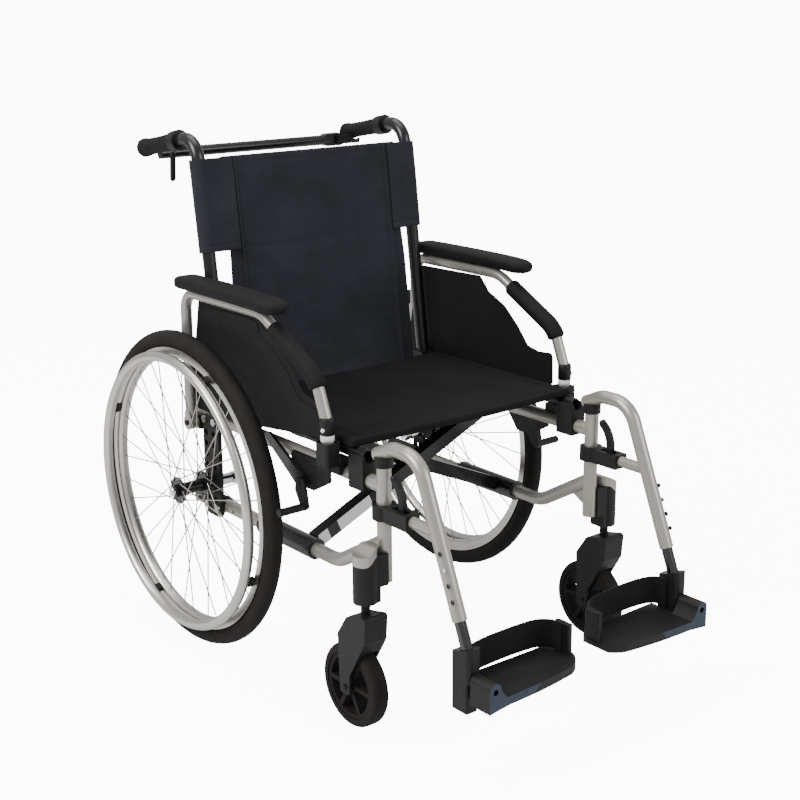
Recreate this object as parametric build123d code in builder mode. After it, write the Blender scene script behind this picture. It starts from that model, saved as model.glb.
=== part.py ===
"""Folding manual wheelchair, real size in mm, +Z up, the chair faces -Y and its own left is +X.

Everything is modelled with the rear axle over y = 0 and shifted by AXLE_Y on export, so the origin lies on
the floor under the middle of the chair. One side is modelled at +X and mirrored for the other side.
"""

import math
import os

from build123d import *

# Overall sizes
WHEEL_R = 305.0
FRONT_REACH = 790.0
AXLE_Y = (FRONT_REACH - WHEEL_R) / 2
FRAME_X = 244.0
CLEAR = 0.3
RUN = 0.05

# Side frame
TUBE_R = 12.7
LOWER_Z = 258.0
UPPER_Z = 430.0
POST_Y = -513.0
POST_BOTTOM = 263.0
POST_TOP = 464.0
REAR_END = 30.0
UPPER_END = 84.0
BEND_Y = -385.0
NECK_Z = 334.0

# Drive wheel
WHEEL_X = 316.5
TYRE_R = 16.5
RIM_R = 274.0
RIM_DEEP = 21.0
RIM_W = 24.0
HANDRIM_X = 350.0
HANDRIM_R = 260.0
HANDRIM_TUBE = 9.5
HUB_R = 12.0
FLANGE_R = 26.0
FLANGE_W = 3.0
FLANGE_IN = 284.0
FLANGE_OUT = 339.0
AXLE_R = 6.35
AXLE_IN = 209.0
AXLE_OUT = 346.0
SPOKES = 36
SPOKE_R = 1.2
SPOKE_LEAD = 62.0
SPOKE_SHIFT = 2.7
HEAD_R = FLANGE_R - 5
TABS = 4
TAB_START = 25.0
TAB_W = 15.0
TAB_H = 10.0

# Axle plate
PLATE_T = 8.0
PLATE_W = 54.0
PLATE_X = FRAME_X + TUBE_R + CLEAR
PLATE_TOP = 440.0
PLATE_BOTTOM = 238.0

# Back
LEAN = 7.6
POST_R = 12.7
BACK_Y = -33.0
BACK_TOP = 960.0
HANDLE_BEND = 42.0
POST_FOOT = UPPER_Z + TUBE_R + 3
TUBE_WALL = 2.0
HANDLE_Y = 236.0
POST_END_Y = HANDLE_Y - 8
HANDLE_Z = 926.0
GRIP_R = 18.0
GRIP_L = 118.0
SLING_TOP = 920.0
SLING_LOW = 750.0
SLING_BOTTOM = 492.0
SLING_HALF = 262.0
SLING_IN = 213.0
SLING_T = 12.0

# Stabiliser bar
BAR_R = 10.5
BAR_Y = 213.0
BAR_Z = 914.0
BAR_X = 222.0
HINGE_X = 207.0
EYE_L = 56.0
EYE_W = 26.0
EYE_T = 18.0

# Cross brace and seat
BRACE = 25.0
BRACE_FRONT_Y = -290.0
BRACE_BACK_Y = -262.0
RAIL_Z = 471.0
RAIL_R = 11.0
RAIL_FRONT = -470.0
RAIL_REAR = -62.0
SEAT_GAP = 22.0
SEAT_HALF = 262.0
SEAT_T = 9.0
SEAT_FRONT = -442.0
SEAT_REAR = -70.0

# Armrest
ARM_X = 279.0
ARM_R = 10.5
ARM_HINGE_Y = 42.0
ARM_HINGE_Z = 420.0
ARM_TOP = 676.0
SOCKET_Y = -405.0
PANEL_T = 4.0
PAD_W = 52.0
PAD_FRONT = -288.0
PAD_REAR = 35.0
PAD_LOW = 688.0
PAD_H = 24.0

# Caster
STEM_X = 286.0
CASTER_Y = -483.0
CASTER_R = 75.0
CASTER_W = 32.0
STEM_R = 8.0
HOUSING_R = 21.0
HOUSING_LOW = 236.0
HOUSING_HIGH = 330.0
STEM_BORE = 50.0
STEP_H = 26.0
FORK_TOP = 222.0

# Leg rest
HANGER_R = 12.5
LATCH_Z = 388.0
LEG_R = 10.0
LEG_BEND = (-604.0, 500.0)
LEG_END = (-704.0, 256.0)
FLIP_Z = 165.0
FOOT_TOP = 150.0
FOOT_T = 15.0
FOOT_IN = 28.0
FOOT_REAR = -690.0

os.makedirs("parts", exist_ok=True)
TO_ORIGIN = Location((0, AXLE_Y, 0))


def save(shape, name):
    """Writes one piece, labelled, in the shared frame."""
    moved = shape.moved(TO_ORIGIN)
    moved.label = name
    export_step(moved, f"parts/{name}.step")


def save_pair(shape, name):
    """Writes the left piece and its mirror image for the right side."""
    save(shape, name + "_left")
    save(mirror(shape, about=Plane.YZ), name + "_right")


def side(x):
    """A plane facing +X at x, with its first axis along +Y and its second along +Z."""
    return Plane(origin=(x, 0, 0), x_dir=(0, 1, 0), z_dir=(1, 0, 0))


def lean_y(z):
    """Where the leaning back post's axis is at height z."""
    return BACK_Y + (z - UPPER_Z) * math.tan(math.radians(LEAN))


def tube_path(x, points, radii):
    """A bent tube's centre line in the side plane at x."""
    return FilletPolyline(*[(x, y, z) for y, z in points], radius=radii)


def rod(a, b, radius, hollow=0.0):
    """A straight round bar between two points, outside any builder."""
    start, end = Vector(*a), Vector(*b)
    plane = Plane(origin=start, z_dir=end - start)
    length = (end - start).length
    shape = plane * Cylinder(radius, length, align=(Align.CENTER, Align.CENTER, Align.MIN))
    if hollow:
        shape -= plane * Cylinder(hollow, length, align=(Align.CENTER, Align.CENTER, Align.MIN))
    return shape


def bar(a, b, wide, deep):
    """A straight rectangular bar in a plane of constant y, outside any builder."""
    start, end = Vector(*a), Vector(*b)
    plane = Plane(origin=start, x_dir=(0, 1, 0), z_dir=end - start)
    return plane * Box(wide, deep, (end - start).length, align=(Align.CENTER, Align.CENTER, Align.MIN))


def ring(x, mid, thick):
    """A round ring about the wheel's axis."""
    return Location((x, 0, WHEEL_R)) * Rotation(0, 90, 0) * Torus(mid, thick)


def disc(x0, x1, radius, bore=0.0, y=0.0, z=WHEEL_R):
    """A disc or sleeve about an axis along X."""
    plane = Plane(origin=(x0, y, z), x_dir=(0, 1, 0), z_dir=(1, 0, 0))
    low = (Align.CENTER, Align.CENTER, Align.MIN)
    shape = plane * Cylinder(radius, x1 - x0, align=low)
    if bore:
        shape -= plane * Cylinder(bore, x1 - x0, align=low)
    return shape


def group(*shapes):
    """Several separate solids that share one node."""
    return Compound([solid for shape in shapes for solid in shape.solids()])


def block(x0, x1, y0, y1, z0, z1):
    """A box given by its limits."""
    return Location(((x0 + x1) / 2, (y0 + y1) / 2, (z0 + z1) / 2)) * Box(x1 - x0, y1 - y0, z1 - z0)


# ---------------------------------------------------------------- side frame
GUSSET_T = 5.0
GUSSET_REACH = 53.0
GUSSET_LIFT = 13.0
NECK_SLOPE = (NECK_Z - LOWER_Z) / (BEND_Y - POST_Y)
with BuildPart() as side_frame:
    with BuildLine():
        tube_path(FRAME_X, [(REAR_END, LOWER_Z), (BEND_Y, LOWER_Z), (POST_Y, NECK_Z)], 70)
    with BuildSketch(Plane(origin=(FRAME_X, REAR_END, LOWER_Z), x_dir=(1, 0, 0), z_dir=(0, -1, 0))):
        Circle(TUBE_R)
    sweep()
    with BuildSketch(Plane(origin=(FRAME_X, UPPER_END, UPPER_Z), x_dir=(1, 0, 0), z_dir=(0, -1, 0))):
        Circle(TUBE_R)
    extrude(amount=UPPER_END - POST_Y)
    with BuildSketch(Plane.XY.offset(POST_BOTTOM)):
        with Locations((FRAME_X, POST_Y)):
            Circle(TUBE_R)
    extrude(amount=POST_TOP - POST_BOTTOM)
    with BuildSketch(side(FRAME_X - GUSSET_T / 2)):
        with BuildLine():
            Polyline(
                (POST_Y + GUSSET_REACH, NECK_Z - GUSSET_REACH * NECK_SLOPE),
                (POST_Y + 2, NECK_Z - 8),
                (POST_Y + 2, POST_BOTTOM + GUSSET_LIFT),
                close=True,
            )
        make_face()
    extrude(amount=GUSSET_T)
    with BuildSketch(Plane.XY.offset(POST_BOTTOM - 1)):
        with Locations((FRAME_X, POST_Y)):
            Circle(TUBE_R - TUBE_WALL)
    extrude(amount=POST_TOP - POST_BOTTOM + 2, mode=Mode.SUBTRACT)
    with BuildSketch(side(FRAME_X)):
        with Locations((-20, LOWER_Z), (-60, LOWER_Z), (-100, LOWER_Z)):
            Circle(3.2)
    extrude(amount=2 * TUBE_R, both=True, mode=Mode.SUBTRACT)
save(side_frame.part, "side_frame_left")
save(side_frame.part.moved(Location((-2 * FRAME_X, 0, 0))), "side_frame_right")

# ---------------------------------------------------------------- axle plate, bolts and axle
HOLE_R = AXLE_R + RUN
HOLE_STEP_Y = 26.0
HOLE_STEP_Z = 22.0
HOLE_RISE = 33.0
with BuildPart() as axle_plate:
    with BuildSketch(side(PLATE_X)):
        with Locations((-3, (PLATE_TOP + PLATE_BOTTOM) / 2)):
            RectangleRounded(PLATE_W, PLATE_TOP - PLATE_BOTTOM, 12)
    extrude(amount=PLATE_T)
    with BuildSketch(side(PLATE_X)):
        with Locations((0, WHEEL_R + HOLE_RISE)):
            with GridLocations(HOLE_STEP_Y, HOLE_STEP_Z, 2, 7):
                Circle(HOLE_R)
        with Locations((0, WHEEL_R)):
            Circle(HOLE_R)
    extrude(amount=PLATE_T, mode=Mode.SUBTRACT)
AXLE_SLEEVE = 11.0
sleeve = disc(AXLE_IN + 16, PLATE_X, AXLE_SLEEVE, HOLE_R)
plate_bolts = Compound(
    [
        disc(PLATE_X + PLATE_T, PLATE_X + PLATE_T + 5, 7, y=y, z=z)
        for y, z in ((-20, UPPER_Z), (14, UPPER_Z), (-20, LOWER_Z), (14, LOWER_Z))
    ]
)
save_pair(group(axle_plate.part, plate_bolts), "axle_plate")

with BuildPart() as axle:
    with BuildSketch(side(AXLE_IN)):
        with Locations((0, WHEEL_R)):
            Circle(AXLE_R)
    extrude(amount=AXLE_OUT + 4 - AXLE_IN)
    with BuildSketch(side(AXLE_OUT + 4)):
        with Locations((0, WHEEL_R)):
            Circle(9)
    extrude(amount=5)
    with BuildSketch(side(AXLE_IN)):
        with Locations((0, WHEEL_R)):
            RegularPolygon(12, 6)
            Circle(HOLE_R, mode=Mode.SUBTRACT)
    with BuildSketch(side(AXLE_IN + 4)):
        with Locations((0, WHEEL_R)):
            RegularPolygon(11.5, 6)
    extrude(amount=10)
    chamfer(axle.faces().sort_by(Axis.X)[-1].edges(), 1)
# ---------------------------------------------------------------- wheel
hub = disc(PLATE_X + PLATE_T + 12, AXLE_OUT + 3, HUB_R, HOLE_R)
hub += disc(FLANGE_IN - FLANGE_W / 2, FLANGE_IN + FLANGE_W / 2, FLANGE_R, HOLE_R)
hub += disc(FLANGE_OUT - FLANGE_W / 2, FLANGE_OUT + FLANGE_W / 2, FLANGE_R, HOLE_R)
save_pair(hub, "hub")
spacer = disc(PLATE_X + PLATE_T + CLEAR, PLATE_X + PLATE_T + 12 - CLEAR, 9.5, HOLE_R)
save_pair(group(axle.part, sleeve, spacer), "axle")

with BuildPart() as rim:
    with BuildSketch(Plane(origin=(0, 0, WHEEL_R), x_dir=(1, 0, 0), z_dir=(0, -1, 0))):
        with BuildLine():
            half, low = RIM_W / 2, RIM_R - RIM_DEEP
            outer = Line((WHEEL_X - half, RIM_R), (WHEEL_X + half, RIM_R))
            right = Line(outer @ 1, (WHEEL_X + half, low + 9))
            crown = ThreePointArc(right @ 1, (WHEEL_X, low), (WHEEL_X - half, low + 9))
            Line(crown @ 1, outer @ 0)
        make_face()
    revolve(axis=Axis((0, 0, WHEEL_R), (1, 0, 0)))
    with BuildSketch(Plane(origin=(0, 0, WHEEL_R), x_dir=(1, 0, 0), z_dir=(0, -1, 0))):
        with Locations((WHEEL_X, WHEEL_R - TYRE_R - CLEAR / 2)):
            Circle(TYRE_R + CLEAR)
    revolve(axis=Axis((0, 0, WHEEL_R), (1, 0, 0)), mode=Mode.SUBTRACT)
save_pair(rim.part, "rim")
tyre = ring(WHEEL_X, WHEEL_R - TYRE_R, TYRE_R)
save_pair(tyre, "tyre")

TAB_IN = RIM_R - RIM_DEEP + 10
handrim = ring(HANDRIM_X, HANDRIM_R, HANDRIM_TUBE)
tabs = []
for k in range(TABS):
    turn = Location((0, 0, WHEEL_R)) * Rotation(360 * k / TABS + TAB_START, 0, 0) * Location((0, 0, -WHEEL_R))
    mid_z = WHEEL_R + (HANDRIM_R + TAB_IN) / 2
    x0, x1 = WHEEL_X + RIM_W / 2 + CLEAR, HANDRIM_X + 2
    tab = block(x0, x1, -TAB_W / 2, TAB_W / 2, mid_z - TAB_H / 2, mid_z + TAB_H / 2)
    tabs.append(turn * (tab - ring(HANDRIM_X, HANDRIM_R, HANDRIM_TUBE + CLEAR)))
save_pair(group(handrim, *tabs), "handrim")

spokes = []
STEP = 360 / SPOKES
for k in range(SPOKES):
    flange_x = FLANGE_IN if k % 2 else FLANGE_OUT
    lead = SPOKE_LEAD if (k // 2) % 2 else -SPOKE_LEAD
    a0 = math.radians(k * STEP + lead)
    a1 = math.radians(k * STEP)
    shift = SPOKE_SHIFT if (k // 2) % 2 else -SPOKE_SHIFT
    inner = (flange_x + shift, HEAD_R * math.sin(a0), WHEEL_R + HEAD_R * math.cos(a0))
    rim_r = RIM_R - RIM_DEEP + 4
    outer = (WHEEL_X + (flange_x - WHEEL_X) * 0.1, rim_r * math.sin(a1), WHEEL_R + rim_r * math.cos(a1))
    spokes.append(rod(inner, outer, SPOKE_R))
save_pair(Compound(spokes), "spokes")

# ---------------------------------------------------------------- back post and grip
with BuildPart() as back_post:
    with BuildLine():
        tube_path(
            FRAME_X,
            [(lean_y(POST_FOOT), POST_FOOT), (lean_y(BACK_TOP), BACK_TOP), (POST_END_Y, HANDLE_Z)],
            HANDLE_BEND,
        )
    tangent = Vector(0, math.sin(math.radians(LEAN)), math.cos(math.radians(LEAN)))
    with BuildSketch(
        Plane(origin=(FRAME_X, lean_y(POST_FOOT), POST_FOOT), x_dir=(1, 0, 0), z_dir=tangent)
    ):
        Circle(POST_R)
        Circle(POST_R - TUBE_WALL, mode=Mode.SUBTRACT)
    sweep()
save_pair(back_post.part, "back_post")

slope = math.atan2(BACK_TOP - HANDLE_Z, POST_END_Y - lean_y(BACK_TOP))
grip_dir = Vector(0, math.cos(slope), -math.sin(slope))
tip = Vector(FRAME_X, POST_END_Y, HANDLE_Z)
with BuildPart() as grip:
    with BuildSketch(Plane(origin=tip + grip_dir * 6, x_dir=(1, 0, 0), z_dir=-grip_dir)):
        Circle(GRIP_R)
    extrude(amount=GRIP_L)
    with BuildSketch(Plane(origin=tip + grip_dir * 0.5, x_dir=(1, 0, 0), z_dir=-grip_dir)):
        Circle(POST_R + CLEAR)
    extrude(amount=GRIP_L, mode=Mode.SUBTRACT)
    fillet(grip.edges().filter_by(GeomType.CIRCLE).sort_by(Axis.Y)[-1], 5)
save_pair(grip.part, "push_grip")

# clamp bracket at the front of the grip
start = tip - grip_dir * (GRIP_L - 4)
with BuildPart() as bracket:
    with BuildSketch(Plane(origin=start, x_dir=(1, 0, 0), z_dir=-grip_dir)):
        Circle(POST_R + 7)
        Circle(POST_R + CLEAR, mode=Mode.SUBTRACT)
    extrude(amount=22)

# socket that holds the back post on the side frame
with BuildPart() as socket:
    with BuildSketch(side(FRAME_X - POST_R - 4)):
        with BuildLine():
            foot_z, head_z = UPPER_Z + TUBE_R + CLEAR, UPPER_Z + 62
            Polyline((-52, foot_z), (-10, foot_z), (-2, head_z), (-42, head_z), close=True)
        make_face()
    extrude(amount=2 * (POST_R + 4))
    with BuildSketch(
        Plane(origin=(FRAME_X, lean_y(UPPER_Z), UPPER_Z), x_dir=(1, 0, 0), z_dir=tangent)
    ):
        Circle(POST_R + CLEAR)
    extrude(amount=100, mode=Mode.SUBTRACT)

# ---------------------------------------------------------------- back sling
def sling_piece(x_out, z_low, z_high, y_front, thick):
    """A flat upright slab that follows the lean of the back posts."""
    low, high = lean_y(z_low), lean_y(z_high)
    plane = side(-x_out)
    corners = [(low + y_front, z_low), (high + y_front, z_high)]
    corners += [(high + y_front - thick, z_high), (low + y_front - thick, z_low)]
    with BuildPart() as slab:
        with BuildSketch(plane):
            with BuildLine():
                Polyline(*corners, close=True)
            make_face()
        extrude(amount=2 * x_out)
    return slab.part


back_sling = sling_piece(SLING_HALF, SLING_LOW, SLING_TOP, -POST_R - CLEAR, SLING_T)
back_sling += sling_piece(SLING_IN, SLING_BOTTOM + 14, SLING_TOP, -POST_R - CLEAR, SLING_T)
save(back_sling, "back_sling")

# ---------------------------------------------------------------- stabiliser bar
HINGE_R = 4.0
LUG_X0 = HINGE_X - 9
LUG_H = 9.0
LUG_T = 10.0
with BuildPart() as tension_bar:
    with BuildSketch(Plane(origin=(-BAR_X, BAR_Y, BAR_Z), x_dir=(0, 1, 0), z_dir=(1, 0, 0))):
        Circle(BAR_R)
    extrude(amount=BAR_X + HINGE_X - EYE_L / 2)
    with BuildSketch(Plane.XZ.offset(-(BAR_Y - EYE_T / 2))):
        with Locations((HINGE_X - EYE_L / 2 + EYE_W / 2, BAR_Z)):
            SlotOverall(EYE_L, EYE_W)
    extrude(amount=-EYE_T)
    with BuildSketch(Plane.XZ.offset(-(BAR_Y - EYE_T))):
        with Locations((HINGE_X, BAR_Z)):
            Circle(HINGE_R + RUN)
    extrude(amount=-2 * EYE_T, mode=Mode.SUBTRACT)
save(tension_bar.part, "tension_bar")
grip_core = rod(tip - grip_dir * 150, tip + grip_dir * 20, GRIP_R + CLEAR)
lug_reach = EYE_T / 2 + LUG_T
hinge_pin = rod((HINGE_X, BAR_Y - lug_reach, BAR_Z), (HINGE_X, BAR_Y + lug_reach, BAR_Z), HINGE_R)
lug_gap = EYE_T / 2 + CLEAR
for y0, y1 in ((BAR_Y + lug_gap, BAR_Y + lug_reach), (BAR_Y - lug_reach, BAR_Y - lug_gap)):
    hinge_pin += block(LUG_X0, FRAME_X + 8, y0, y1, BAR_Z - LUG_H, BAR_Z + LUG_H)
hinge_pin -= grip_core
hinge_pin = hinge_pin.solids().sort_by(Axis.X)[0]
save(group(bracket.part, socket.part, hinge_pin), "post_fittings_left")
CATCH_H = 14.0
catch_low, catch_high = BAR_Z + BAR_R + CLEAR, BAR_Z + BAR_R + CATCH_H
catch = block(-FRAME_X, -HINGE_X, BAR_Y - CATCH_H, BAR_Y + CATCH_H, catch_low, catch_high)
catch -= mirror(grip_core, about=Plane.YZ)
catch = catch.solids().sort_by(Axis.X)[-1]
right_bracket = mirror(bracket.part, about=Plane.YZ)
right_socket = mirror(socket.part, about=Plane.YZ)
save(group(right_bracket, right_socket, catch), "post_fittings_right")

# ---------------------------------------------------------------- cross brace

def brace(y, sign):
    """One brace: a foot sleeve on the lower tube at sign * FRAME_X and a seat rail on the other side."""
    foot = Vector(sign * FRAME_X, y, LOWER_Z)
    head = Vector(-sign * FRAME_X, y, RAIL_Z)
    along = (head - foot).normalized()
    a, b = foot + along * (TUBE_R + 4), head - along * 4
    beam = bar(tuple(a), tuple(b), BRACE, BRACE)
    return beam


PIVOT_R = 6.0
PIVOT_Z = (LOWER_Z + RAIL_Z) / 2
SLEEVE_R = TUBE_R + 6.5
SLEEVE_FRONT = -316.0
SLEEVE_REAR = -150.0


def brace_weld(y, sign, sleeve_y):
    """The brace with its foot sleeve round the lower tube."""
    shape = brace(y, sign)
    y0, y1 = sleeve_y
    shape += rod((sign * FRAME_X, y0, LOWER_Z), (sign * FRAME_X, y1, LOWER_Z), SLEEVE_R)
    shape -= rod((sign * FRAME_X, y0 - 5, LOWER_Z), (sign * FRAME_X, y1 + 5, LOWER_Z), TUBE_R + CLEAR)
    shape -= rod((-sign * FRAME_X, RAIL_FRONT, RAIL_Z), (-sign * FRAME_X, RAIL_REAR, RAIL_Z), RAIL_R)
    return shape


front_brace = brace_weld(BRACE_FRONT_Y, -1, (SLEEVE_FRONT, SLEEVE_REAR))
back_brace = brace_weld(BRACE_BACK_Y, 1, (SLEEVE_FRONT, SLEEVE_REAR))
pivot_hole = rod((0, BRACE_FRONT_Y - 30, PIVOT_Z), (0, BRACE_BACK_Y + 30, PIVOT_Z), PIVOT_R + RUN)
front_brace -= pivot_hole
back_brace -= pivot_hole
pivot = rod((0, BRACE_FRONT_Y - BRACE / 2 - 2, PIVOT_Z), (0, BRACE_BACK_Y + BRACE / 2 + 2, PIVOT_Z), PIVOT_R)
pivot += rod((0, BRACE_FRONT_Y - BRACE / 2 - 8, PIVOT_Z), (0, BRACE_FRONT_Y - BRACE / 2 - CLEAR, PIVOT_Z), 10)
pivot += rod((0, BRACE_BACK_Y + BRACE / 2 + CLEAR, PIVOT_Z), (0, BRACE_BACK_Y + BRACE / 2 + 8, PIVOT_Z), 10)
save(pivot, "brace_pivot")
rail = rod((FRAME_X, RAIL_FRONT, RAIL_Z), (FRAME_X, RAIL_REAR, RAIL_Z), RAIL_R, RAIL_R - 2)
save(group(front_brace + rail), "cross_brace_right")
save(group(back_brace + mirror(rail, about=Plane.YZ)), "cross_brace_left")

# ---------------------------------------------------------------- seat
seat_low = RAIL_Z + RAIL_R + CLEAR
seat = block(SEAT_GAP, FRAME_X + 4, SEAT_FRONT, SEAT_REAR, seat_low, seat_low + SEAT_T)
save_pair(seat, "seat_sling")

# ---------------------------------------------------------------- rail saddles
SADDLE_W = 34.0
saddles = []
for y0, y1, z0 in ((-478, -438, UPPER_Z - TUBE_R - 4), (-126, -96, UPPER_Z + 6)):
    base = block(FRAME_X - SADDLE_W / 2, FRAME_X + SADDLE_W / 2, y0, y1, z0, RAIL_Z + 2)
    base -= rod((FRAME_X, -560, UPPER_Z), (FRAME_X, 60, UPPER_Z), TUBE_R + CLEAR)
    base -= rod((FRAME_X, -560, RAIL_Z), (FRAME_X, 60, RAIL_Z), RAIL_R + CLEAR)
    base -= block(FRAME_X - RAIL_R - CLEAR, FRAME_X + RAIL_R + CLEAR, y0 - 5, y1 + 5, RAIL_Z, RAIL_Z + 10)
    saddles.append(base)

# ---------------------------------------------------------------- armrest
with BuildPart() as arm_tube:
    with BuildLine():
        FilletPolyline(
            (ARM_X, ARM_HINGE_Y, ARM_HINGE_Z + 16),
            (ARM_X, ARM_HINGE_Y, ARM_TOP),
            (ARM_X, -218, ARM_TOP),
            (ARM_X, -376, 592),
            (ARM_X, SOCKET_Y, 520),
            (ARM_X, SOCKET_Y, 452),
            radius=(36, 80, 60, 50),
        )
    with BuildSketch(Plane.XY.offset(ARM_HINGE_Z + 16)):
        with Locations((ARM_X, ARM_HINGE_Y)):
            Circle(ARM_R)
    sweep()
arm_path = arm_tube.part
PIN_R = 5.0
lug = disc(ARM_X - 9, ARM_X + 9, 14, PIN_R + RUN, y=ARM_HINGE_Y, z=ARM_HINGE_Z)
lug += block(ARM_X - 9, ARM_X + 9, ARM_HINGE_Y - 9, ARM_HINGE_Y + 9, ARM_HINGE_Z + 8, ARM_HINGE_Z + 22)
lug -= disc(ARM_X - 20, ARM_X + 20, PIN_R + RUN, y=ARM_HINGE_Y, z=ARM_HINGE_Z)
save_pair(arm_path + lug, "arm_tube")

CHEEK = 28.0
arm_hinge = disc(FRAME_X + TUBE_R + 2, ARM_X + 13, PIN_R, y=ARM_HINGE_Y, z=ARM_HINGE_Z)
cheek = Location((PLATE_X, ARM_HINGE_Y, ARM_HINGE_Z))
cheek_wide = ARM_X - ARM_R - CLEAR - PLATE_X
arm_hinge += cheek * Box(cheek_wide, CHEEK, CHEEK, align=(Align.MIN, Align.CENTER, Align.CENTER))

with BuildPart() as side_panel:
    with BuildSketch(side(ARM_X - ARM_R - PANEL_T - CLEAR)):
        with BuildLine():
            Polyline(
                (14, 664),
                (-176, 668),
                (-202, 640),
                (-248, 619),
                (-286, 586),
                (-316, 551),
                (-346, 545),
                (-384, 548),
                (-386, 486),
                (-195, 462),
                (-60, 447),
                (35, 447),
                (48, 499),
                close=True,
            )
        make_face()
        fillet(vertices(), 9)
    extrude(amount=PANEL_T)
save_pair(side_panel.part, "side_panel")

with BuildPart() as arm_pad:
    with BuildSketch(Plane.XY.offset(PAD_LOW)):
        with Locations((ARM_X + 9, (PAD_FRONT + PAD_REAR) / 2)):
            RectangleRounded(PAD_W, PAD_REAR - PAD_FRONT, 22)
    extrude(amount=PAD_H)
    fillet(arm_pad.faces().sort_by(Axis.Z)[-1].edges(), 9)

with BuildPart() as foam:
    with BuildLine():
        FilletPolyline((ARM_X, -262, 654), (ARM_X, -330, 621), (ARM_X, -384, 576), radius=60)
    turn = Vector(0, -68, -33)
    with BuildSketch(Plane(origin=(ARM_X, -262, 654), x_dir=(1, 0, 0), z_dir=turn)):
        Circle(ARM_R + 5)
    sweep()
foam_solid = foam.part - arm_path
foam_solid = foam_solid.solids().sort_by(SortBy.VOLUME)[-1]

socket_low, socket_high = 446.0, 487.0
arm_socket = block(ARM_X - 16, ARM_X + 15, SOCKET_Y - 17, SOCKET_Y + 17, socket_low, socket_high)
arm_socket = fillet(arm_socket.edges().filter_by(Axis.Z), 6)
arm_socket += block(FRAME_X - 2, ARM_X - 14, SOCKET_Y - 13, SOCKET_Y + 13, UPPER_Z - 2, 462)
arm_socket -= rod((FRAME_X, -560, UPPER_Z), (FRAME_X, 60, UPPER_Z), TUBE_R + CLEAR)
arm_socket -= rod((FRAME_X, -560, RAIL_Z), (FRAME_X, 60, RAIL_Z), RAIL_R + 3.5)
arm_socket -= block(ARM_X - 13, ARM_X + 12.5, SOCKET_Y - 14, SOCKET_Y + 16, 449, socket_high + 1)
save_pair(group(arm_pad.part, foam_solid), "arm_padding")

# ---------------------------------------------------------------- rear sockets for a tip tube
STUB_REACH = 50.0
TIP_BORE_R = 9.5
stub = rod((FRAME_X, REAR_END - 44, LOWER_Z), (FRAME_X, REAR_END + STUB_REACH, LOWER_Z), TUBE_R + 4)
stub -= rod((FRAME_X, REAR_END - 50, LOWER_Z), (FRAME_X, REAR_END + CLEAR, LOWER_Z), TUBE_R + CLEAR)
stub -= rod((FRAME_X, REAR_END, LOWER_Z), (FRAME_X, REAR_END + STUB_REACH + 1, LOWER_Z), TIP_BORE_R)
stub -= block(PLATE_X - CLEAR, PLATE_X + 30, REAR_END - 60, REAR_END + 60, LOWER_Z - 50, LOWER_Z + 50)
stub = stub.solids().sort_by(SortBy.VOLUME)[-1]
save_pair(group(*saddles, arm_socket, arm_hinge, stub), "frame_mounts")

# ---------------------------------------------------------------- brake
BRAKE_OFF = 7.0
BRAKE_Y, BRAKE_Z = -318.0, 392.0
with BuildPart() as brake_bracket:
    with BuildSketch(side(FRAME_X + TUBE_R + CLEAR)):
        with BuildLine():
            Polyline((-384, 437), (-271, 437), (-271, 415), (-300, 378), (-336, 378), (-384, 404), close=True)
        make_face()
        fillet(vertices(), 5)
    extrude(amount=5)
    with BuildSketch(side(FRAME_X + TUBE_R + CLEAR + 5)):
        with Locations((BRAKE_Y, BRAKE_Z)):
            Circle(8)
    extrude(amount=BRAKE_OFF)
    with BuildSketch(side(FRAME_X + TUBE_R + CLEAR + 5)):
        with Locations((BRAKE_Y, BRAKE_Z)):
            Circle(4)
    extrude(amount=BRAKE_OFF + 13)
save_pair(brake_bracket.part, "brake_bracket")
LEVER_X0 = FRAME_X + TUBE_R + CLEAR + 5 + BRAKE_OFF + CLEAR
with BuildPart() as brake_lever:
    with BuildSketch(side(LEVER_X0)):
        with BuildLine():
            Polyline((-328, 382), (-306, 382), (-214, 444), (-206, 458), (-222, 460), (-322, 404), close=True)
        make_face()
        fillet(vertices(), 4)
        with Locations((BRAKE_Y, BRAKE_Z)):
            Circle(4 + RUN, mode=Mode.SUBTRACT)
    extrude(amount=6)
save_pair(brake_lever.part, "brake_lever")
SHOE_X0 = LEVER_X0 + 6 + CLEAR
with BuildPart() as brake_shoe:
    with BuildSketch(side(SHOE_X0)):
        with BuildLine():
            Polyline((-332, 400), (-310, 400), (-306, 376), (-322, 350), (-344, 350), (-338, 380), close=True)
        make_face()
        fillet(vertices(), 3)
        with Locations((BRAKE_Y, BRAKE_Z)):
            Circle(4 + RUN, mode=Mode.SUBTRACT)
    extrude(amount=5)
    with BuildSketch(side(SHOE_X0)):
        with Locations((-333, 352)):
            Circle(7)
    extrude(amount=WHEEL_X + 17 - SHOE_X0)
save_pair(brake_shoe.part, "brake_shoe")

# ---------------------------------------------------------------- caster
CLAMP_HALF = 17.0
CAP_T = 18.0
SEAM_LOW = 303.0
SEAM_HIGH = 318.0


def above_seam(lift):
    """Everything above the wavy seam between the housing and its cap, raised by lift."""
    low, high, top = SEAM_LOW + lift, SEAM_HIGH + lift, HOUSING_HIGH + 60
    outer, inner = STEM_X + HOUSING_R + 1, FRAME_X - CLAMP_HALF
    with BuildPart() as region:
        with BuildSketch(Plane.XZ.offset(-POST_Y - 60)):
            with BuildLine():
                Polyline((outer, low), (outer, top), (inner, top), (inner, high), (STEM_X - 14, high))
                middle = (STEM_X, (low + high) / 2)
                Spline((STEM_X - 14, high), middle, (outer - 6, low), tangents=((1, 0), (1, 0)))
                Line((outer - 6, low), (outer, low))
            make_face()
        extrude(amount=120)
    return region.part


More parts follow.
